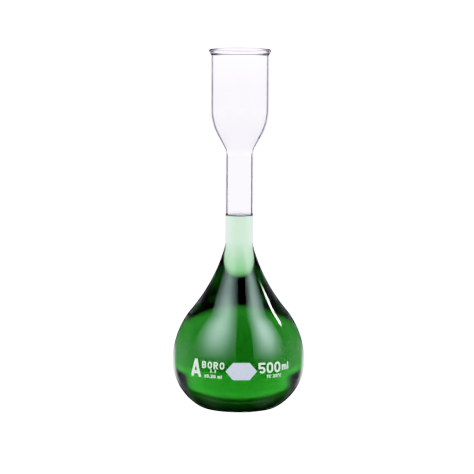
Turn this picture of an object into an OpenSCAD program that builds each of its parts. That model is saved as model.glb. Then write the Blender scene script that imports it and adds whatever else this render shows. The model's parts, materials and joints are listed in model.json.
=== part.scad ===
// Volumetric flask with an expanded cup mouth, filled to its mark.
// Millimetres, +Z up. The origin is the centre of the circle on which the base stands.
// The printed marks face -Y.

/* [Calibration] */
// Capacity up to the graduation line, in millilitres
capacity_ml = 500; // [496:1:508]

/* [Bulb] */
// Outer radius of the bulb at its widest
bulb_r = 50; // [49.5:0.1:50.5]
// Height of the widest place above the table
equator_z = 35.2; // [34.8:0.1:35.6]
// Radius of the rounding below the widest place, seen from the side
belly_r = 39.6; // [39:0.1:40.2]
// Radius of the rounding above the widest place, seen from the side
shoulder_r = 61.2; // [60:0.2:62.4]
// Slope of the wall from the axis where the shoulder turns hollow, in degrees
shoulder_slope = 39.6; // [38.6:0.2:40.6]
// Slope of the wall where it meets the fillet under the neck, in degrees
flare_slope = 15.6; // [14:0.2:17]
// Radius of the fillet under the neck
flare_fillet_r = 9; // [6:0.5:12]
// Radius of the corner between the belly and the foot
foot_corner_r = 9; // [7:0.5:11]
// Width of the flat ring that the flask stands on
foot_width = 2.2; // [1.5:0.1:3]
// Height of the pushed-up middle of the base
kick_h = 3.2; // [2:0.2:5]

/* [Neck] */
// Outer radius of the neck tube
neck_r = 10.7; // [10.4:0.1:11]

/* [Cup] */
// Height of the flask
flask_h = 270; // [265:1:278]
// Outer radius of the cup
cup_r = 22; // [21:0.2:23]
// Length of the straight part of the cup, under its rim bead
cup_straight = 43; // [38:0.5:46]
// Radius of the rounding under the straight part, seen from the side
cup_shoulder_r = 41; // [36:1:44]
// Slope of the cone of the cup from the axis, in degrees
cup_slope = 29.5; // [27:0.5:32]
// Radius of the fillet between the cone of the cup and the neck
cup_fillet_r = 5; // [4:0.5:7]
// How far the rim bead stands out from the cup
bead_out = 1.4; // [0.8:0.1:1.8]

/* [Glass] */
// Thickness of the wall
wall = 1.6; // [1.4:0.05:1.8]

/* [Liquid] */
// Rise of the liquid up the wall of the neck
meniscus_h = 1.9; // [1:0.1:3]

/* [Marks] */
// Thickness of the fired enamel
enamel_t = 0.12; // [0.08:0.01:0.2]
// Height of the graduation line
line_h = 0.4; // [0.3:0.05:0.6]
// Height of the capacity digits
digit_h = 7.8; // [6:0.2:9]
// Height of the class letter
class_h = 13; // [10:0.2:14]
// Height of the small print
small_h = 2.4; // [2:0.1:2.6]
// Height of the patch
patch_h = 12.8; // [10:0.2:14]
// Width of the patch, point to point
patch_w = 23.2; // [20:0.2:25]

/* [Hidden] */

$fn = 96;
ARC_STEP = 5;
BEAD_STEP = 15;
DISH_STEP = 5;
MM3_PER_ML = 1000;
// How far a cut reaches past the face it cuts through
CUT = 1;
bore_r = neck_r - wall;
cup_bore_r = cup_r - wall;
bead_r = (wall + bead_out) / 2;

// Points on an arc about the point (r, z) of the side view, from angle a0 to a1
function arc(r, z, radius, a0, a1, step = ARC_STEP) =
    let (n = max(1, ceil(abs(a1 - a0) / step)))
    [for (i = [0 : n])
        let (a = a0 + (a1 - a0) * i / n)
        [r + radius * cos(a), z + radius * sin(a)]];

// A list without the points that repeat the one before
function distinct(points) =
    [for (i = [0 : len(points) - 1])
        if (i == 0 || norm(points[i] - points[max(i - 1, 0)]) > 0.001) points[i]];

function reversed(points) = [for (i = [len(points) - 1 : -1 : 0]) points[i]];

// Bulb: the centres of its arcs, which the inside and the outside share
belly_centre_r = bulb_r - belly_r;
foot_centre_z = foot_corner_r;
foot_drop = equator_z - foot_centre_z;
foot_centre_r = belly_centre_r + sqrt(pow(belly_r - foot_corner_r, 2) - pow(foot_drop, 2));
foot_angle = -atan2(foot_drop, foot_centre_r - belly_centre_r);
shoulder_centre_r = bulb_r - shoulder_r;
turn_r = shoulder_centre_r + shoulder_r * cos(shoulder_slope);
turn_z = equator_z + shoulder_r * sin(shoulder_slope);
flare_r = (turn_r - neck_r - flare_fillet_r * (1 - cos(flare_slope)))
        / (cos(flare_slope) - cos(shoulder_slope));
flare_centre_r = turn_r + flare_r * cos(shoulder_slope);
flare_centre_z = turn_z + flare_r * sin(shoulder_slope);
fillet_centre_r = neck_r + flare_fillet_r;
bulb_top_z = flare_centre_z - (flare_r - flare_fillet_r) * sin(flare_slope);

// Base: a shallow dome inside the standing ring
stand_r = foot_centre_r;
kick_edge_r = stand_r - foot_width;
kick_r = (pow(kick_edge_r, 2) + pow(kick_h, 2)) / (2 * kick_h);
kick_angle = asin(kick_edge_r / kick_r);
kick_centre_z = kick_h - kick_r;

// Side view of the bulb's wall from the foot up, moved inwards by depth
function bulb_wall(depth) = distinct(concat(
    arc(foot_centre_r, foot_centre_z, foot_corner_r - depth, -90, foot_angle, BEAD_STEP),
    arc(belly_centre_r, equator_z, belly_r - depth, foot_angle, 0),
    arc(shoulder_centre_r, equator_z, shoulder_r - depth, 0, shoulder_slope),
    arc(flare_centre_r, flare_centre_z, flare_r + depth,
        180 + shoulder_slope, 180 + flare_slope),
    arc(fillet_centre_r, bulb_top_z, flare_fillet_r + depth, 180 + flare_slope, 180)));

// Side view of the underside, from the axis out, raised by depth
function kick_wall(depth) =
    arc(0, kick_centre_z, kick_r + depth, 90, 90 - kick_angle);

bulb_outside = distinct(concat(kick_wall(0), bulb_wall(0)));
bulb_inside = distinct(concat(kick_wall(wall), bulb_wall(wall)));

// Space inside the bulb, added up from the slices between its points
function slice(a, b) = PI * (b[1] - a[1]) * (a[0] * a[0] + a[0] * b[0] + b[0] * b[0]) / 3;
function total(values, i = 0) = i < len(values) ? values[i] + total(values, i + 1) : 0;
bulb_space = total([for (i = [0 : len(bulb_inside) - 2]) slice(bulb_inside[i], bulb_inside[i + 1])]);

// Cup: measured down from the rim
bead_z = flask_h - bead_r;
bead_centre_r = cup_bore_r + bead_r;
straight_z = bead_z - cup_straight;
cup_centre_r = cup_r - cup_shoulder_r;
cone_top_r = cup_centre_r + cup_shoulder_r * cos(cup_slope);
cone_top_z = straight_z - cup_shoulder_r * sin(cup_slope);
cone_low_r = neck_r + cup_fillet_r * (1 - cos(cup_slope));
cone_low_z = cone_top_z - (cone_top_r - cone_low_r) / tan(cup_slope);
cup_low_z = cone_low_z - cup_fillet_r * sin(cup_slope);
BEAD_TUCK = -55;

// Side view of the cup's wall from its foot up to the rim bead, moved inwards by depth
function cup_wall(depth) = distinct(concat(
    arc(neck_r + cup_fillet_r, cup_low_z, cup_fillet_r + depth, 180, 180 - cup_slope),
    arc(cup_centre_r, straight_z, cup_shoulder_r - depth, -cup_slope, 0)));

cup_outside = distinct(concat(
    cup_wall(0),
    [[cup_r, bead_z - 2 * bead_r]],
    arc(bead_centre_r, bead_z, bead_r, BEAD_TUCK, 180, BEAD_STEP)));

// The calibrator's sum: the line goes where the flask holds its capacity
MARK_MARGIN = 6;
wanted_z = bulb_top_z + (capacity_ml * MM3_PER_ML - bulb_space) / (PI * bore_r * bore_r);
mark_z = min(max(wanted_z, bulb_top_z + MARK_MARGIN), cup_low_z - MARK_MARGIN);

// Meniscus: a shallow dish whose lowest point is level with the line
dish_r = (bore_r * bore_r + meniscus_h * meniscus_h) / (2 * meniscus_h);
dish_angle = asin(bore_r / dish_r);

// Places of the marks: degrees round the bulb from the front, and heights of their feet
PATCH_AT = 2.5;
CLASS_AT = -39;
BLOCK_AT = -22.3;
DIGITS_AT = 27.8;
UNIT_AT = 43.8;
TEMPERATURE_AT = 32.1;
class_z = equator_z - 5.3;
print_z = equator_z - 5.3;
grade_z = equator_z - 1.3;
digit_z = equator_z - 1.5;
unit_z = equator_z - 0.2;
block_z = equator_z + 1.7;
patch_z = equator_z + 0.3;

// Lettering: heights in millimetres, strokes and gaps in letter heights
unit_h = 5.4;
block_h = 5;
BOLD = 0.16;
LIGHT = 0.19;
BOLD_GAP = 0.17;
WIDE_GAP = 0.3;
LIGHT_GAP = 0.25;
ROUND_W = 0.66;
GLYPH_STEP = 30;
MARK_REACH = 10;
PATCH_FLAT = 0.52;

// Glass

module bulb() {
    color([0.86, 0.92, 0.90, 0.35])
        rotate_extrude()
            polygon(concat(bulb_outside, reversed(bulb_inside)));
}

module neck() {
    color([0.88, 0.92, 0.93, 0.35])
        difference() {
            translate([0, 0, bulb_top_z])
                cylinder(h = cup_low_z - bulb_top_z, r = neck_r);
            translate([0, 0, bulb_top_z - CUT])
                cylinder(h = cup_low_z - bulb_top_z + 2 * CUT, r = bore_r);
        }
}

module cup() {
    color([0.90, 0.92, 0.95, 0.35])
        rotate_extrude()
            polygon(concat(cup_outside, reversed(cup_wall(wall))));
}

// Contents

module solution() {
    dish = arc(0, mark_z + dish_r, dish_r, -90 + dish_angle, -90, DISH_STEP);
    color([0.10, 0.45, 0.08])
        rotate_extrude()
            polygon(distinct(concat(bulb_inside, dish)));
}

// Fired marks

module graduation_line() {
    color("white")
        translate([0, 0, mark_z - line_h / 2])
            difference() {
                cylinder(h = line_h, r = neck_r + enamel_t);
                translate([0, 0, -CUT])
                    cylinder(h = line_h + 2 * CUT, r = neck_r);
            }
}

// A thin skin on the front of the bulb, cut to the outline given as the children
module enamel(at) {
    intersection() {
        rotate_extrude()
            polygon(concat(bulb_wall(-enamel_t), reversed(bulb_wall(0))));
        rotate([0, 0, at])
            translate([0, -bulb_r + MARK_REACH, 0])
                rotate([90, 0, 0])
                    linear_extrude(height = 2 * MARK_REACH)
                        children();
    }
}

// Straight stroke of a letter, from p to q
module stroke(p, q, t) {
    along = (q - p) / norm(q - p);
    side = [-along[1], along[0]] * t / 2;
    polygon([p + side, q + side, q - side, p - side]);
}

// Bowed stroke of a letter, about centre c and from angle a0 to a1
module bow(c, radius, a0, a1, t) {
    polygon(concat(
        arc(c[0], c[1], radius + t / 2, a0, a1, GLYPH_STEP),
        reversed(arc(c[0], c[1], radius - t / 2, a0, a1, GLYPH_STEP))));
}

// Letters and digits, each on a box of height h that starts at the origin. t is the stroke.

function round_w(h) = ROUND_W * h;

module ring_glyph(h, t, a0, a1) {
    radius = (round_w(h) - t) / 2;
    x = round_w(h) / 2;
    bow([x, h - t / 2 - radius], radius, a0, 180, t);
    bow([x, t / 2 + radius], radius, 180, 360 - a1, t);
    stroke([t / 2, h - t / 2 - radius], [t / 2, t / 2 + radius], t);
}

module glyph_0(h, t) {
    ring_glyph(h, t, 0, 0);
    radius = (round_w(h) - t) / 2;
    stroke([round_w(h) - t / 2, h - t / 2 - radius], [round_w(h) - t / 2, t / 2 + radius], t);
}

module glyph_c(h, t) {
    ring_glyph(h, t, 30, 30);
}

module glyph_2(h, t) {
    radius = (round_w(h) - t) / 2;
    x = round_w(h) / 2;
    bow([x, h - t / 2 - radius], radius, -30, 180, t);
    stroke([x + radius * cos(30), h - t / 2 - radius * 1.5], [t / 2, t / 2], t);
    stroke([0, t / 2], [round_w(h), t / 2], t);
}

module glyph_3(h, t) {
    radius = (h - t) / 4;
    x = round_w(h) - t / 2 - radius;
    bow([x, t / 2 + radius], radius, -150, 90, t);
    bow([x, h - t / 2 - radius], radius, -90, 150, t);
}

module glyph_5(h, t) {
    bowl = 0.62 * h;
    back = 0.44 * h;
    radius = (bowl - t) / 2;
    x = round_w(h) - t / 2 - radius;
    bow([x, t / 2 + radius], radius, -150, 120, t);
    stroke([t / 2, h], [t / 2, back], t);
    stroke([0, h - t / 2], [round_w(h), h - t / 2], t);
    stroke([0, back + t / 2], [x, bowl - t / 2], t);
}

module glyph_a(h, t) {
    half = 0.36 * h;
    stroke([t / 2, 0], [half, h], t);
    stroke([2 * half - t / 2, 0], [half, h], t);
    bar_z = 0.26 * h;
    stroke([0.4 * half, bar_z], [1.6 * half, bar_z], t);
}

module glyph_b(h, t) {
    radius = (h - t) / 4;
    stroke([t / 2, 0], [t / 2, h], t);
    bow([round_w(h) - t / 2 - radius, t / 2 + radius], radius, -90, 90, t);
    bow([round_w(h) - t / 2 - radius, h - t / 2 - radius], radius, -90, 90, t);
    for (y = [t / 2, h / 2, h - t / 2])
        stroke([0, y], [round_w(h) - t / 2 - radius, y], t);
}

module glyph_r(h, t) {
    radius = (h - t) / 4;
    stroke([t / 2, 0], [t / 2, h], t);
    bow([round_w(h) - t / 2 - radius, h - t / 2 - radius], radius, -90, 90, t);
    for (y = [h / 2, h - t / 2])
        stroke([0, y], [round_w(h) - t / 2 - radius, y], t);
    stroke([0.3 * h, h / 2], [round_w(h) - t / 2, 0], t);
}

module glyph_t(h, t) {
    stroke([0, h - t / 2], [round_w(h), h - t / 2], t);
    stroke([round_w(h) / 2, 0], [round_w(h) / 2, h], t);
}

module glyph_l(h, t) {
    stroke([t / 2, 0], [t / 2, h], t);
}

module glyph_m(h, t) {
    radius = 0.17 * h;
    top = 0.72 * h;
    for (x = [t / 2, t / 2 + 2 * radius, t / 2 + 4 * radius])
        stroke([x, 0], [x, top - t / 2 - radius], t);
    for (x = [t / 2 + radius, t / 2 + 3 * radius])
        bow([x, top - t / 2 - radius], radius, 0, 180, t);
    stroke([t / 2, 0], [t / 2, top], t);
}

module glyph_dot(h, t) {
    square([t, t]);
}

module glyph_degree(h, t) {
    centre = [0.18 * h, 0.82 * h];
    radius = 0.13 * h;
    thin = 0.7 * t;
    bow(centre, radius, 0, 180, thin);
    bow(centre, radius, 180, 360, thin);
}

module glyph_plus_minus(h, t) {
    w = 0.56 * h;
    stroke([0, t / 2], [w, t / 2], t);
    stroke([0, 0.58 * h], [w, 0.58 * h], t);
    stroke([w / 2, 0.26 * h], [w / 2, 0.9 * h], t);
}

module glyph(name, h, t) {
    if (name == "0" || name == "O") glyph_0(h, t);
    if (name == "2") glyph_2(h, t);
    if (name == "3") glyph_3(h, t);
    if (name == "5") glyph_5(h, t);
    if (name == "A") glyph_a(h, t);
    if (name == "B") glyph_b(h, t);
    if (name == "C") glyph_c(h, t);
    if (name == "R") glyph_r(h, t);
    if (name == "T") glyph_t(h, t);
    if (name == "m") glyph_m(h, t);
    if (name == "l") glyph_l(h, t);
    if (name == ".") glyph_dot(h, t);
    if (name == "o") glyph_degree(h, t);
    if (name == "+") glyph_plus_minus(h, t);
}

// Width of a letter of height 1
function glyph_w(name) =
    name == "A" ? 0.72 : name == "m" ? 0.86 : name == "l" ? 0.18 : name == "." ? 0.2 :
    name == "o" ? 0.34 : name == "+" ? 0.56 : name == " " ? 0.2 : ROUND_W;

// How far along a word its letter i starts, in letter heights
function advance(word, i, gap) =
    i == 0 ? 0 : advance(word, i - 1, gap) + glyph_w(word[i - 1]) + gap;

// A word of enamel round the bulb, centred at an angle, standing on height z.
// Each letter faces straight out from the axis.
module printed(word, at, z, h, t, gap) {
    length = advance(word, len(word), gap) - gap;
    for (i = [0 : len(word) - 1])
        if (word[i] != " ") {
            middle = (advance(word, i, gap) + glyph_w(word[i]) / 2 - length / 2) * h;
            enamel(at + middle / bulb_r * 180 / PI)
                translate([-glyph_w(word[i]) * h / 2, z])
                    glyph(word[i], h, t * h);
        }
}

module writing_patch() {
    flat = PATCH_FLAT * patch_w / 2;
    tip = patch_w / 2;
    half = patch_h / 2;
    color([0.83, 0.85, 0.92])
        enamel(PATCH_AT)
            translate([0, patch_z])
                polygon([[tip, 0], [flat, half], [-flat, half],
                         [-tip, 0], [-flat, -half], [flat, -half]]);
}

module capacity_digits() {
    color("white")
        printed("500", DIGITS_AT, digit_z, digit_h, BOLD, BOLD_GAP);
}

module unit_mark() {
    color("white")
        printed("ml", UNIT_AT, unit_z, unit_h, BOLD, BOLD_GAP);
}

module class_mark() {
    color("white")
        printed("A", CLASS_AT, class_z, class_h, BOLD, BOLD_GAP);
}

module temperature_mark() {
    color("white")
        printed("TC 20oC", TEMPERATURE_AT, print_z, small_h, LIGHT, LIGHT_GAP);
}

module glass_mark() {
    color("white") {
        printed("BORO", BLOCK_AT, block_z, block_h, BOLD, WIDE_GAP);
        printed("3.3", BLOCK_AT, grade_z, small_h, LIGHT, WIDE_GAP);
    }
}

module tolerance_mark() {
    color("white")
        printed("+0.20 ml", BLOCK_AT, print_z, small_h, LIGHT, LIGHT_GAP);
}

bulb();
neck();
cup();
solution();
graduation_line();
writing_patch();
capacity_digits();
unit_mark();
class_mark();
temperature_mark();
glass_mark();
tolerance_mark();
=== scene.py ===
"""A glass volumetric flask, filled with green solution up to its line, in a pale studio.

The camera looks along +Y from a little above, and the printed marks face it.
"""
import json
import math

import bpy
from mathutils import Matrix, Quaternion, Vector, noise


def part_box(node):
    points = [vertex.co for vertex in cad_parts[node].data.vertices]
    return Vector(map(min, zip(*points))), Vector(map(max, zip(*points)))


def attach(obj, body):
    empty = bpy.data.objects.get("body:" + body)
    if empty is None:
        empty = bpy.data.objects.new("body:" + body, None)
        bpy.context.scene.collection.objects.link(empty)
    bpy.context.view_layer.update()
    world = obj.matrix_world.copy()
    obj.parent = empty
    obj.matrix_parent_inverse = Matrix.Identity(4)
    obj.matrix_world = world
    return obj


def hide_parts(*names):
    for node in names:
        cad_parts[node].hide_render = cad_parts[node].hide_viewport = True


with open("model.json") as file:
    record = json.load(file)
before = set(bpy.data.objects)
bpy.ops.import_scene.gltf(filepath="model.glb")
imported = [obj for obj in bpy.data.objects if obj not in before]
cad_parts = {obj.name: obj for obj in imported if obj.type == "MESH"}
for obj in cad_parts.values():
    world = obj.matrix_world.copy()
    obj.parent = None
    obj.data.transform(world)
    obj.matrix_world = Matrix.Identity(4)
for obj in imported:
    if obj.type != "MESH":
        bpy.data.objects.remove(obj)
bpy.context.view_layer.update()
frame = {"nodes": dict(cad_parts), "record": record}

MM = 0.001

# Sizes that the frame gives
BULB_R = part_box("bulb")[1].x
BULB_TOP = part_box("bulb")[1].z
NECK_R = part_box("neck")[1].x
NECK_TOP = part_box("neck")[1].z
BEAD_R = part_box("cup")[1].x
FLASK_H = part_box("cup")[1].z
WALL = BULB_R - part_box("solution")[1].x
MARK_Z = (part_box("graduation_line")[0].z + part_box("graduation_line")[1].z) / 2
MENISCUS_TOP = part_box("solution")[1].z

# The arcs of the side view, as the design has them. Slopes are in degrees off the vertical, and
# BEAD_TUCK is where on its circle the rim bead starts.
EQUATOR_Z = 35.2 * MM
BELLY_R = 39.6 * MM
SHOULDER_R = 61.2 * MM
SHOULDER_SLOPE = 39.6
FLARE_SLOPE = 15.6
FLARE_FILLET_R = 9 * MM
FOOT_CORNER_R = 9 * MM
FOOT_WIDTH = 2.2 * MM
KICK_H = 3.2 * MM
BEAD_OUT = 1.4 * MM
CUP_STRAIGHT = 43 * MM
CUP_SHOULDER_R = 41 * MM
CUP_SLOPE = 29.5
CUP_FILLET_R = 5 * MM
BEAD_TUCK = -55

CUP_R = BEAD_R - BEAD_OUT
BORE_R = NECK_R - WALL

# How fine the meshes are: faces round the axis, steps up a straight wall, and how far each arc
# turns from one ring to the next, in degrees
ROUND = 192
WALL_STEP = 2 * MM
BORE_STEP = 1 * MM
TURN = {"foot": 4, "belly": 1.5, "shoulder": 1, "flare": 0.8, "flare_fillet": 1.5, "base": 1,
        "cup_fillet": 2, "cup_shoulder": 1, "bead": 6}
TINY = 1e-6

# The flame seals: how far the liquid sits in the glass, how far a seal is off its joint, and the
# ridge of thicker glass at the joint of neck and cup
SEAL = 0.08 * MM
SEAL_OFFSET = 0.5 * MM
LOW_SEAL = BULB_TOP + SEAL_OFFSET
HIGH_SEAL = NECK_TOP - SEAL_OFFSET
RIDGE_DEPTH = 0.1 * MM
RIDGE_HEIGHT = 2.2 * MM

# How hand-worked glass strays from a true round, and how steeply the liquid climbs its wall
UNEVEN_DEPTH = 0.06 * MM
UNEVEN_PITCH = 30 * MM
MENISCUS_POWER = 30
MENISCUS_STEPS = 40

# Glass. Its outside reflects less up the flare, as a level by height: painted shade that dims the
# highlights there. DRAW_LINES is the scale of its faint draw lines, which run up and down.
GLASS_IOR = 1.473
GLASS_TINT = (0.985, 0.975, 0.995, 1)
FLARE_MIRROR_PAINTED_SHADE = ((74 * MM, 1), (92 * MM, 0.45))
DRAW_LINES = (300, 300, 12)

# Painted glow: emission in walls that turn away, which stands in for the backdrop's light there:
# how much of it, how far they have turned where it sets in and is full, and its level by the rise
# of the surface's normal
BULB_PAINTED_GLOW = 0.4
DRY_PAINTED_GLOW = 0.3
PAINTED_GLOW_BAND = (0.68, 0.9)
PAINTED_GLOW_UPRIGHT = ((-0.45, 0), (-0.1, 1), (0.05, 1), (0.25, 0))

# Painted shade on the edges of dry glass, which stands in for the dark room that they show: how
# much light passes, by how far the wall has turned away
NECK_EDGE_PAINTED_SHADE = ((0.36, 0.75), (0.43, 0.004), (0.6, 0.004), (0.68, 0.6))
CUP_EDGE_PAINTED_SHADE = ((0.51, 0.72), (0.59, 0.02), (0.73, 0.02), (0.82, 0.5))
RIM_EDGE_PAINTED_SHADE = ((0.3, 0.75), (0.5, 0.04), (0.97, 0.015), (1, 0.1))

# Solution
SOLUTION_IOR = 1.333
SOLUTION_COLOUR = (0.06, 0.56, 0.0, 1)
SOLUTION_DENSITY = 69

# Fired enamel, dark and light, by the material slot of the mark
ENAMEL_IOR = 1.5
ENAMELS = {"white_enamel": ((0.60, 0.82, 0.66, 1), (0.74, 0.94, 0.80, 1)),
           "patch_enamel": ((0.43, 0.49, 0.66, 1), (0.50, 0.57, 0.76, 1))}

# Studio
BACKDROP_LIGHT = 1.8
ROOM_LIGHT = 0.4
FLOOR_GLOW = 0.9

# Brightness seen through the glass at an elevation in degrees: the lit sweep, dark above and
# dark close under the flask
SWEEP_LIGHT = ((-36, 0), (-32.5, 0.6), (-30, 0.85), (-12, 0.85), (-8, 0.95), (-4, 0.95),
               (-2, 1.6), (11, 1.6), (14, 0.3), (15.5, 0.1), (17, 0.4), (18.5, 0.1), (26, 0.02))
SWEEP_TINT = (1.0, 0.94, 1.16)

# The sweep's four corners, where its upper part stays dark: elevations, and how far a direction
# is from the X and Y axes, as the size of its X times its Y
CORNER_ABOVE = ((0, 0), (3, 1))
CORNER_ASIDE = ((0.4, 0), (0.46, 1))

# Brightness of the table to both sides of the flask, where it is steeply below
TABLE_LIGHT = 0.4
TABLE_BELOW = ((-53, 1), (-47, 0))
TABLE_ASIDE = ((0.22, 0), (0.32, 1))

# The film's response: how steeply it rises in the dark before it bends over to white, the steps
# in which it is drawn, and which of the view's curves acts on all colours
FILM_GAIN = 4.5
FILM_STEPS = 12
ALL_COLOURS = 3

FLOOR_R = 6
FLOOR_DROP = 0.2 * MM
FLOOR_SIDES = 96

# The lights, each by the (azimuth, elevation) of both ends of its lower edge and of its upper
# edge, its strength, its colour, and the level that it fades to at its two sides. Azimuths are in
# degrees off the camera's side.
PANEL_DISTANCE = 1.2
PANEL_STEPS = 32
DAYLIGHT = (0.66, 1, 0.88)
PANELS = {
    "softbox_left": (((-84, -4), (-5, -4)), ((-98, 98), (-5, 98)), 3.9, DAYLIGHT, 0.14),
    "softbox_right": (((24, -4), (88, -4)), ((34, 84), (93, 84)), 4.5, DAYLIGHT, 0.14),
    "window_right": (((103, 28), (109, 27)), ((113, 42), (119, 40)), 40, (1, 1, 1), 0.3),
}

# Camera, with its roll in degrees
CAMERA_DISTANCE = 1.79
CAMERA_HEIGHT = 0.364
CAMERA_LENS = 182.5
CAMERA_AIM_X = -0.0016
CAMERA_AIM_Z = 0.1289
CAMERA_ROLL = 0.3


def arc(r, z, radius, a0, a1, step):
    """Points on an arc about (r, z) of the side view, from angle a0 to a1."""
    n = max(1, math.ceil(abs(a1 - a0) / step))
    angles = [math.radians(a0 + (a1 - a0) * i / n) for i in range(n + 1)]
    return [(r + radius * math.cos(a), z + radius * math.sin(a)) for a in angles]


def straight(p, q, step):
    """Points from p to q, at most step apart."""
    n = max(1, math.ceil(math.dist(p, q) / step))
    return [(p[0] + (q[0] - p[0]) * i / n, p[1] + (q[1] - p[1]) * i / n) for i in range(n + 1)]


def distinct(points):
    """The points without those that repeat the one before."""
    kept = points[:1]
    for p in points[1:]:
        if math.dist(p, kept[-1]) > TINY:
            kept.append(p)
    return kept


# Centres of the bulb's arcs, which its inside and its outside share
belly_centre = BULB_R - BELLY_R
foot_drop = EQUATOR_Z - FOOT_CORNER_R
foot_centre = belly_centre + math.sqrt((BELLY_R - FOOT_CORNER_R) ** 2 - foot_drop ** 2)
foot_angle = -math.degrees(math.atan2(foot_drop, foot_centre - belly_centre))
slope, flare = math.radians(SHOULDER_SLOPE), math.radians(FLARE_SLOPE)
shoulder_centre = BULB_R - SHOULDER_R
turn_r = shoulder_centre + SHOULDER_R * math.cos(slope)
turn_z = EQUATOR_Z + SHOULDER_R * math.sin(slope)
flare_r = ((turn_r - NECK_R - FLARE_FILLET_R * (1 - math.cos(flare)))
           / (math.cos(flare) - math.cos(slope)))
flare_centre = (turn_r + flare_r * math.cos(slope), turn_z + flare_r * math.sin(slope))
kick_edge = foot_centre - FOOT_WIDTH
kick_r = (kick_edge ** 2 + KICK_H ** 2) / (2 * KICK_H)
kick_angle = math.degrees(math.asin(kick_edge / kick_r))


def bulb_side(depth):
    """The bulb's wall from the foot to the seal under the neck, moved inwards by depth."""
    return distinct(
        arc(foot_centre, FOOT_CORNER_R, FOOT_CORNER_R - depth, -90, foot_angle, TURN["foot"])
        + arc(belly_centre, EQUATOR_Z, BELLY_R - depth, foot_angle, 0, TURN["belly"])
        + arc(shoulder_centre, EQUATOR_Z, SHOULDER_R - depth, 0, SHOULDER_SLOPE, TURN["shoulder"])
        + arc(*flare_centre, flare_r + depth, 180 + SHOULDER_SLOPE, 180 + FLARE_SLOPE,
              TURN["flare"])
        + arc(NECK_R + FLARE_FILLET_R, BULB_TOP, FLARE_FILLET_R + depth, 180 + FLARE_SLOPE, 180,
              TURN["flare_fillet"])
        + [(NECK_R - depth, LOW_SEAL)])


def base_side(depth):
    """The pushed-up underside, from the axis out, raised by depth."""
    return arc(0, KICK_H - kick_r, kick_r + depth, 90, 90 - kick_angle, TURN["base"])


def cup_side(depth):
    """The cup's wall from the neck to the end of its straight part, moved inwards by depth."""
    straight_z = FLASK_H - (WALL + BEAD_OUT) / 2 - CUP_STRAIGHT
    return distinct(
        [(NECK_R - depth, HIGH_SEAL)]
        + arc(NECK_R + CUP_FILLET_R, NECK_TOP, CUP_FILLET_R + depth, 180, 180 - CUP_SLOPE,
              TURN["cup_fillet"])
        + arc(CUP_R - CUP_SHOULDER_R, straight_z, CUP_SHOULDER_R - depth, -CUP_SLOPE, 0,
              TURN["cup_shoulder"]))


def bead_side():
    """The rim bead, from under its outside over the top to the cup's inside."""
    bead = (WALL + BEAD_OUT) / 2
    centre = (CUP_R - WALL + bead, FLASK_H - bead)
    return [(CUP_R, FLASK_H - 3 * bead)] + arc(*centre, bead, BEAD_TUCK, 180, TURN["bead"])


def unevenness(z, angle):
    """How far the inside of hand-worked glass strays from a true round, at a place."""
    place = Vector((math.cos(angle), math.sin(angle), z / UNEVEN_PITCH))
    return UNEVEN_DEPTH * noise.noise(place)


def lathe(name, runs):
    """A closed piece of revolution, from runs of points of its side view.

    Each run is (material, uneven, points) and starts where the one before it ends. There is a
    hard edge between two runs, and where the outline closes. The points that an uneven run adds
    stray as the inside of hand-worked glass does.
    """
    looks, rings, bands, hard = [], [], [], {0}
    for material, uneven, points in runs:
        if material not in looks:
            looks.append(material)
        for r, z in points[1:] if rings else points:
            if rings:
                bands.append(looks.index(material))
            rings.append((r, z, uneven))
        hard.add(len(rings) - 1)
    verts, places, ring_of = [], [], []
    for r, z, uneven in rings:
        if places and math.dist((r, z), rings[0][:2]) < TINY:
            places.append(places[0])
            continue
        turns = ROUND if r > TINY else 1
        places.append([len(verts) + i % turns for i in range(ROUND)])
        for i in range(turns):
            angle = 2 * math.pi * i / ROUND
            away = r + (unevenness(z, angle) if uneven and turns > 1 else 0)
            verts.append((away * math.cos(angle), away * math.sin(angle), z))
            ring_of.append(len(places) - 1)
    faces, marks = [], []
    for k, band in enumerate(bands):
        low, high = places[k], places[k + 1]
        for i in range(ROUND):
            n = (i + 1) % ROUND
            faces.append(tuple(dict.fromkeys((low[i], low[n], high[n], high[i]))))
            marks.append(band)
    mesh = bpy.data.meshes.new(name)
    mesh.from_pydata(verts, [], faces)
    mesh.polygons.foreach_set("use_smooth", [True] * len(faces))
    mesh.polygons.foreach_set("material_index", marks)
    for edge in mesh.edges:
        a, b = edge.vertices
        if ring_of[a] == ring_of[b] and ring_of[a] in hard:
            edge.use_edge_sharp = True
    for material in looks:
        mesh.materials.append(material)
    piece = bpy.data.objects.new(name, mesh)
    bpy.context.scene.collection.objects.link(piece)
    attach(piece, "root")
    return piece


# Materials

def new_material(name):
    """A material with its Principled shader and its output."""
    material = bpy.data.materials.new(name)
    material.use_nodes = True
    tree = material.node_tree
    return material, tree, tree.nodes["Principled BSDF"], tree.nodes["Material Output"]


def add_node(tree, kind, inputs=None, **settings):
    """A node with its settings and its unlinked inputs."""
    node = tree.nodes.new(kind)
    for key, value in settings.items():
        setattr(node, key, value)
    for key, value in (inputs or {}).items():
        node.inputs[key].default_value = value
    return node


def ramp_node(tree, stops, source):
    """A ramp of grey or colour levels through (position, level) stops, read at a source."""
    ramp = add_node(tree, "ShaderNodeValToRGB")
    elements = ramp.color_ramp.elements
    while len(elements) < len(stops):
        elements.new(1)
    for element, (position, level) in zip(elements, stops):
        element.position = position
        element.color = (*level, 1) if isinstance(level, tuple) else (level, level, level, 1)
    tree.links.new(source, ramp.inputs["Fac"])
    return ramp.outputs["Color"]


def by_elevation(stops):
    """The stops with each elevation, in degrees, as the position that upward gives for it."""
    return [((math.sin(math.radians(elevation)) + 1) / 2, level) for elevation, level in stops]


def part_of(tree, source, axis):
    """A vector's part along X, Y or Z."""
    parts = add_node(tree, "ShaderNodeSeparateXYZ")
    tree.links.new(source, parts.inputs["Vector"])
    return parts.outputs[axis]


def size_of(tree, source):
    """A value without its sign."""
    size = add_node(tree, "ShaderNodeMath", operation="ABSOLUTE")
    tree.links.new(source, size.inputs[0])
    return size.outputs["Value"]


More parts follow.
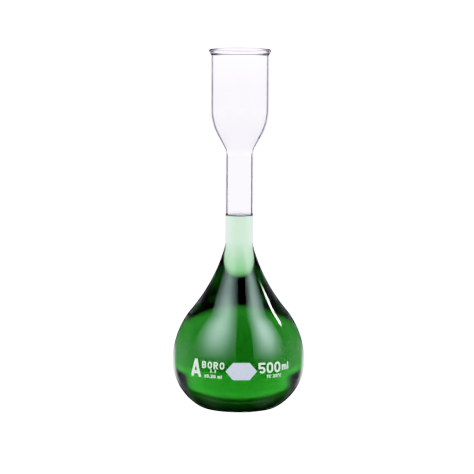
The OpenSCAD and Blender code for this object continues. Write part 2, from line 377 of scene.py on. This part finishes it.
def upward(tree, source):
    """How far up a direction points, from 0 for straight down to 1 for straight up."""
    level = add_node(tree, "ShaderNodeMapRange", {"From Min": -1})
    tree.links.new(part_of(tree, source, "Z"), level.inputs["Value"])
    return level.outputs["Result"]


def product(tree, a, b):
    """The product of two values, each a socket or a number."""
    node = add_node(tree, "ShaderNodeMath", operation="MULTIPLY")
    for factor, socket in ((a, node.inputs[0]), (b, node.inputs[1])):
        if isinstance(factor, (int, float)):
            socket.default_value = factor
        else:
            tree.links.new(factor, socket)
    return node.outputs["Value"]


def glass_material(name, mirror=1, glow=0, edge=None):
    """Clear drawn glass, with faint draw lines up and down.

    mirror is how much it reflects, or lists that by height, which dims the flare's highlights as
    painted shade. glow is a painted glow, emission that stands in for the backdrop's light in
    upright walls that turn away, and edge lists how much light passes as they turn away, which
    darkens their edges as painted shade.
    """
    material, tree, shader, _ = new_material(name)
    shader.inputs["Base Color"].default_value = GLASS_TINT
    shader.inputs["Roughness"].default_value = 0
    shader.inputs["IOR"].default_value = GLASS_IOR
    shader.inputs["Transmission Weight"].default_value = 1
    place = add_node(tree, "ShaderNodeTexCoord")
    # Painted shade: the outside's reflections dimmed by height, so that the highlights fade up the
    # flare
    if isinstance(mirror, tuple):
        height = product(tree, part_of(tree, place.outputs["Object"], "Z"), 1 / FLASK_H)
        stops = [(z / FLASK_H, level) for z, level in mirror]
        tree.links.new(ramp_node(tree, stops, height), shader.inputs["Specular Tint"])
    else:
        shader.inputs["Specular Tint"].default_value = (mirror, mirror, mirror, 1)
    stretch = add_node(tree, "ShaderNodeMapping", {"Scale": DRAW_LINES})
    lines = add_node(tree, "ShaderNodeTexNoise", {"Scale": 1, "Detail": 2, "Roughness": 0.4})
    bump = add_node(tree, "ShaderNodeBump", {"Strength": 0.05, "Distance": 0.02 * MM})
    tree.links.new(place.outputs["Object"], stretch.inputs["Vector"])
    tree.links.new(stretch.outputs["Vector"], lines.inputs["Vector"])
    tree.links.new(lines.outputs["Fac"], bump.inputs["Height"])
    tree.links.new(bump.outputs["Normal"], shader.inputs["Normal"])
    facing = add_node(tree, "ShaderNodeLayerWeight", {"Blend": 0.5}).outputs["Facing"]
    # Painted shade: the glass darkened as the wall turns away, which stands in for the dark room
    # that its edges show
    if edge:
        tint = add_node(tree, "ShaderNodeVectorMath", {0: GLASS_TINT[:3]}, operation="MULTIPLY")
        tree.links.new(ramp_node(tree, edge, facing), tint.inputs[1])
        tree.links.new(tint.outputs["Vector"], shader.inputs["Base Color"])
    # Painted glow: emission that stands in for the backdrop's light, in upright outer walls that
    # turn away
    if glow:
        geometry = add_node(tree, "ShaderNodeNewGeometry")
        outside = add_node(tree, "ShaderNodeMath", {0: 1}, operation="SUBTRACT")
        tree.links.new(geometry.outputs["Backfacing"], outside.inputs[1])
        stops = [((lean + 1) / 2, level) for lean, level in PAINTED_GLOW_UPRIGHT]
        upright = ramp_node(tree, stops, upward(tree, geometry.outputs["True Normal"]))
        band = ramp_node(tree, [(PAINTED_GLOW_BAND[0], 0), (PAINTED_GLOW_BAND[1], glow)], facing)
        painted_glow_level = product(tree, product(tree, upright, outside.outputs["Value"]), band)
        tree.links.new(painted_glow_level, shader.inputs["Emission Strength"])
    return material


def seal_material():
    """The fused joint between two glass sections, where there is no surface to see."""
    material, tree, shader, output = new_material("fused_seal")
    tree.nodes.remove(shader)
    clear = add_node(tree, "ShaderNodeBsdfTransparent")
    tree.links.new(clear.outputs["BSDF"], output.inputs["Surface"])
    return material


def solution_material():
    """Clear green solution, darker with depth, that shines only at its free surface."""
    material, tree, shader, output = new_material("green_solution")
    shader.inputs["Roughness"].default_value = 0
    place = add_node(tree, "ShaderNodeTexCoord")
    free = add_node(tree, "ShaderNodeMath", {1: MARK_Z - TINY}, operation="GREATER_THAN")
    tree.links.new(part_of(tree, place.outputs["Object"], "Z"), free.inputs[0])
    tree.links.new(free.outputs["Value"], shader.inputs["Specular Tint"])
    shader.inputs["IOR"].default_value = SOLUTION_IOR
    shader.inputs["Transmission Weight"].default_value = 1
    depth = add_node(tree, "ShaderNodeVolumeAbsorption",
                     {"Color": SOLUTION_COLOUR, "Density": SOLUTION_DENSITY})
    tree.links.new(depth.outputs["Volume"], output.inputs["Volume"])
    return material


def enamel_material(name, dark, light):
    """Fired enamel: slightly mottled, with a fine grain."""
    material, tree, shader, _ = new_material(name)
    shader.inputs["IOR"].default_value = ENAMEL_IOR
    place = add_node(tree, "ShaderNodeTexCoord")
    mottle = add_node(tree, "ShaderNodeTexNoise", {"Scale": 700, "Detail": 6, "Roughness": 0.6})
    tone = add_node(tree, "ShaderNodeValToRGB")
    tone.color_ramp.elements[0].position = 0.3
    tone.color_ramp.elements[0].color = dark
    tone.color_ramp.elements[1].position = 0.6
    tone.color_ramp.elements[1].color = light
    grain = add_node(tree, "ShaderNodeTexNoise", {"Scale": 4000, "Detail": 3})
    gloss = add_node(tree, "ShaderNodeMapRange", {"To Min": 0.35, "To Max": 0.6})
    bump = add_node(tree, "ShaderNodeBump", {"Strength": 0.3, "Distance": 0.02 * MM})
    tree.links.new(place.outputs["Object"], mottle.inputs["Vector"])
    tree.links.new(place.outputs["Object"], grain.inputs["Vector"])
    tree.links.new(mottle.outputs["Fac"], tone.inputs["Fac"])
    tree.links.new(tone.outputs["Color"], shader.inputs["Base Color"])
    tree.links.new(mottle.outputs["Fac"], gloss.inputs["Value"])
    tree.links.new(gloss.outputs["Result"], shader.inputs["Roughness"])
    tree.links.new(grain.outputs["Fac"], bump.inputs["Height"])
    tree.links.new(bump.outputs["Normal"], shader.inputs["Normal"])
    return material


# The flask

def glass_section(node, runs):
    """One closed section of the flask, in place of its node."""
    piece = lathe(node + "_glass", runs)
    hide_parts(node)
    return piece


def bore(z0, z1):
    """The inside of the neck from height z0 to z1."""
    return straight((BORE_R, z0), (BORE_R, z1), BORE_STEP)


def ridged(points):
    """The points of an inside, with the ridge of thicker glass at the joint of neck and cup."""
    return [(r - RIDGE_DEPTH * math.exp(-((z - NECK_TOP) / RIDGE_HEIGHT) ** 2), z)
            for r, z in points]


def meniscus(level, top, radius):
    """The liquid's surface, from the wall of the neck in to the axis: flat, then a steep rise."""
    points = []
    for i in range(MENISCUS_STEPS + 1):
        away = 1 - (i / MENISCUS_STEPS) ** 2
        points.append((radius * away, level + (top - level) * away ** MENISCUS_POWER))
    return points


def make_bulb():
    """The bulb, wet inside, down to its pushed-up base."""
    outside = distinct(base_side(0) + bulb_side(0))
    inside = distinct(base_side(WALL) + bulb_side(WALL))
    glass_section("bulb", [(glass, False, outside),
                           (seal, True, [outside[-1], inside[-1]]),
                           (wet_inside, True, inside[::-1])])


def make_neck():
    """The neck, wet inside up to the liquid's edge."""
    full = straight((NECK_R, LOW_SEAL), (NECK_R, MARK_Z), WALL_STEP)
    empty = straight((NECK_R, MARK_Z), (NECK_R, HIGH_SEAL), WALL_STEP)
    dry = ridged(bore(HIGH_SEAL, MENISCUS_TOP))
    wet = bore(MENISCUS_TOP, LOW_SEAL)
    glass_section("neck", [(glass, False, full),
                           (neck_glass, False, empty),
                           (seal, True, [empty[-1], dry[0]]),
                           (dry_inside, True, dry),
                           (wet_inside, True, wet),
                           (seal, False, [wet[-1], full[0]])])


def make_cup():
    """The dry cup above the neck, with its rim bead."""
    outside, bead, inside = cup_side(0), bead_side(), cup_side(WALL)
    outside = distinct(outside + straight(outside[-1], bead[0], WALL_STEP))
    inside = ridged(distinct(inside + straight(inside[-1], bead[-1], WALL_STEP)))[::-1]
    glass_section("cup", [(cup_glass, False, outside),
                          (rim_glass, False, bead),
                          (dry_inside, True, inside),
                          (seal, False, [inside[-1], outside[0]])])


def make_solution():
    """The liquid, seated a hair into the glass so that no air shows between them."""
    floor = [(r, z - SEAL) for r, z in base_side(WALL)]
    wall = [(r + SEAL, z) for r, z in bulb_side(WALL)[1:] + bore(LOW_SEAL, MENISCUS_TOP)[1:]]
    side = distinct(floor + wall)
    surface = meniscus(MARK_Z, MENISCUS_TOP, side[-1][0])
    green = solution_material()
    piece = lathe("solution_liquid", [(green, True, side), (green, False, surface)])
    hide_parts("solution")


def paint_marks():
    """The fired marks keep their solids from the design, and get their enamel."""
    enamels = {slot: enamel_material(slot, *tones) for slot, tones in ENAMELS.items()}
    for row in frame["record"]["subparts"]:
        if row["material_slot"] in enamels:
            mark = frame["nodes"][row["node"]]
            mark.data.materials.clear()
            mark.data.materials.append(enamels[row["material_slot"]])


# Painted light on the glass: shade on the outside's highlights up the flare, a glow in walls that
# turn away, and shade on the edges of the dry neck, cup and rim
glass = glass_material("borosilicate_glass", mirror=FLARE_MIRROR_PAINTED_SHADE, glow=BULB_PAINTED_GLOW)
neck_glass = glass_material("dry_neck", glow=DRY_PAINTED_GLOW, edge=NECK_EDGE_PAINTED_SHADE)
cup_glass = glass_material("dry_cup", glow=DRY_PAINTED_GLOW, edge=CUP_EDGE_PAINTED_SHADE)
rim_glass = glass_material("dry_rim", edge=RIM_EDGE_PAINTED_SHADE)
dry_inside = glass_material("dry_inside")
wet_inside = glass_material("wet_inside", mirror=0)
seal = seal_material()
make_bulb()
make_neck()
make_cup()
make_solution()
paint_marks()


# Studio

def fade(across):
    """1 in the middle of a panel, down to 0 at its edge, for a place across it from 0 to 1."""
    off = abs(2 * across - 1)
    return 1 - off * off * (3 - 2 * off)


def light_panel(name, low, high, strength, colour, ends):
    """A curved light of the studio, which shows in reflections off the outside only.

    low and high are its lower and upper edge, as PANELS lists them. It fades out towards both
    edges, and sideways to the level ends.
    """
    verts, glows, faces = [], [], []
    row = PANEL_STEPS + 1
    for j in range(row):
        for i in range(row):
            s, t = i / PANEL_STEPS, j / PANEL_STEPS
            sides = [[a + (b - a) * t for a, b in zip(low[k], high[k])] for k in (0, 1)]
            side, up = (math.radians(a + (b - a) * s) for a, b in zip(*sides))
            verts.append((PANEL_DISTANCE * math.sin(side) * math.cos(up),
                          -PANEL_DISTANCE * math.cos(side) * math.cos(up),
                          PANEL_DISTANCE * math.sin(up) + EQUATOR_Z))
            glows.append((ends + (1 - ends) * fade(s)) * fade(t))
            if i and j:
                corner = len(verts) - 1
                faces.append((corner - row - 1, corner - row, corner, corner - 1))
    mesh = bpy.data.meshes.new(name)
    mesh.from_pydata(verts, [], faces)
    mesh.attributes.new("fade", "FLOAT", "POINT").data.foreach_set("value", glows)
    panel = bpy.data.objects.new(name, mesh)
    bpy.context.scene.collection.objects.link(panel)
    material, tree, shader, output = new_material(name)
    tree.nodes.remove(shader)
    level = add_node(tree, "ShaderNodeAttribute", attribute_name="fade")
    kind = add_node(tree, "ShaderNodeLightPath")
    outer = add_node(tree, "ShaderNodeMath", {1: 0.5}, operation="LESS_THAN")
    tree.links.new(kind.outputs["Transmission Depth"], outer.inputs[0])
    glow = add_node(tree, "ShaderNodeEmission", {"Color": (*colour, 1)})
    bright = product(tree, product(tree, level.outputs["Fac"], outer.outputs["Value"]), strength)
    tree.links.new(bright, glow.inputs["Strength"])
    tree.links.new(glow.outputs["Emission"], output.inputs["Surface"])
    mesh.materials.append(material)
    limit_rays(panel, ("glossy",))


def limit_rays(stage, seen_by):
    """Shows a piece of the studio only to the ray kinds listed."""
    for kind in ("camera", "diffuse", "glossy", "transmission", "volume_scatter", "shadow"):
        setattr(stage, "visible_" + kind, kind in seen_by)


def make_floor():
    """The pale round floor, lit from below as well, which leaves only a faint shadow."""
    mesh = bpy.data.meshes.new("floor")
    around = [2 * math.pi * i / FLOOR_SIDES for i in range(FLOOR_SIDES)]
    mesh.from_pydata([(FLOOR_R * math.cos(a), FLOOR_R * math.sin(a), -FLOOR_DROP) for a in around],
                     [], [tuple(range(FLOOR_SIDES))])
    floor = bpy.data.objects.new("floor", mesh)
    bpy.context.scene.collection.objects.link(floor)
    material, tree, shader, _ = new_material("pale_floor")
    shader.inputs["Base Color"].default_value = (0.9, 0.9, 0.9, 1)
    shader.inputs["Roughness"].default_value = 0.9
    shader.inputs["Emission Color"].default_value = (1, 1, 1, 1)
    shader.inputs["Emission Strength"].default_value = FLOOR_GLOW
    floor.data.materials.append(material)
    limit_rays(floor, ("camera", "shadow"))


def make_world():
    """The studio's light: a white backdrop, a lit sweep through glass, dark in reflections."""
    world = bpy.data.worlds.new("studio")
    world.use_nodes = True
    tree = world.node_tree
    bpy.context.scene.world = world
    towards = add_node(tree, "ShaderNodeTexCoord").outputs["Generated"]
    up = upward(tree, towards)
    levels = [(elevation, tuple(tint * light / BACKDROP_LIGHT for tint in SWEEP_TINT))
              for elevation, light in SWEEP_LIGHT]
    sweep = ramp_node(tree, by_elevation(levels), up)
    x, y = part_of(tree, towards, "X"), part_of(tree, towards, "Y")
    corner = product(tree, ramp_node(tree, by_elevation(CORNER_ABOVE), up),
                     ramp_node(tree, CORNER_ASIDE, size_of(tree, product(tree, x, y))))
    lit = add_node(tree, "ShaderNodeMath", {0: 1}, operation="SUBTRACT")
    tree.links.new(corner, lit.inputs[1])
    table = product(tree, ramp_node(tree, by_elevation(TABLE_BELOW), up),
                    ramp_node(tree, TABLE_ASIDE, size_of(tree, x)))
    around = add_node(tree, "ShaderNodeVectorMath", operation="MULTIPLY_ADD")
    tree.links.new(sweep, around.inputs[0])
    tree.links.new(lit.outputs["Value"], around.inputs[1])
    tree.links.new(product(tree, table, TABLE_LIGHT / BACKDROP_LIGHT), around.inputs[2])
    kind = add_node(tree, "ShaderNodeLightPath")
    through = add_node(tree, "ShaderNodeMath", {1: 0.5}, operation="GREATER_THAN")
    tree.links.new(kind.outputs["Transmission Depth"], through.inputs[0])
    bare = add_node(tree, "ShaderNodeMath", {1: ROOM_LIGHT / BACKDROP_LIGHT},
                    operation="MULTIPLY_ADD")
    tree.links.new(kind.outputs["Is Diffuse Ray"], bare.inputs[0])
    tree.links.new(kind.outputs["Is Camera Ray"], bare.inputs[2])
    light = add_node(tree, "ShaderNodeMix", data_type="RGBA")
    tree.links.new(through.outputs["Value"], light.inputs["Factor"])
    tree.links.new(bare.outputs["Value"], light.inputs["A"])
    tree.links.new(around.outputs["Vector"], light.inputs["B"])
    sky = tree.nodes["Background"]
    sky.inputs["Strength"].default_value = BACKDROP_LIGHT
    tree.links.new(light.outputs["Result"], sky.inputs["Color"])


def bend_film(view):
    """A film's response, which keeps darks deep and fades brights gently to white."""
    view.view_transform = "Standard"
    view.use_curve_mapping = True
    curve = view.curve_mapping.curves[ALL_COLOURS]
    white = 1 - math.exp(-FILM_GAIN)
    for i in range(1, FILM_STEPS):
        light = (i / FILM_STEPS) ** 2
        curve.points.new(light, (1 - math.exp(-FILM_GAIN * light)) / white)
    view.curve_mapping.update()


def make_camera():
    """The camera, a long way off and a little above, aimed at the middle of the flask."""
    data = bpy.data.cameras.new("camera")
    data.lens = CAMERA_LENS
    data.sensor_width = 36
    data.clip_end = 20
    camera = bpy.data.objects.new("camera", data)
    camera.location = (0, -CAMERA_DISTANCE, CAMERA_HEIGHT)
    aim = Vector((CAMERA_AIM_X, 0, CAMERA_AIM_Z))
    upright = (aim - camera.location).to_track_quat("-Z", "Y")
    roll = Quaternion((0, 0, 1), math.radians(CAMERA_ROLL))
    camera.rotation_euler = (upright @ roll).to_euler()
    bpy.context.scene.collection.objects.link(camera)
    bpy.context.scene.camera = camera


make_floor()
make_world()
make_camera()
for name, panel in PANELS.items():
    light_panel(name, *panel)

# Clear glass needs many bounces, and the denoiser does best from the colours alone
scene = bpy.context.scene
bend_film(scene.view_settings)
scene.cycles.denoising_input_passes = "RGB"
scene.cycles.max_bounces = 24
scene.cycles.transmission_bounces = 24
scene.cycles.glossy_bounces = 8
scene.cycles.transparent_max_bounces = 24
scene.cycles.sample_clamp_indirect = 10
scene.cycles.blur_glossy = 0
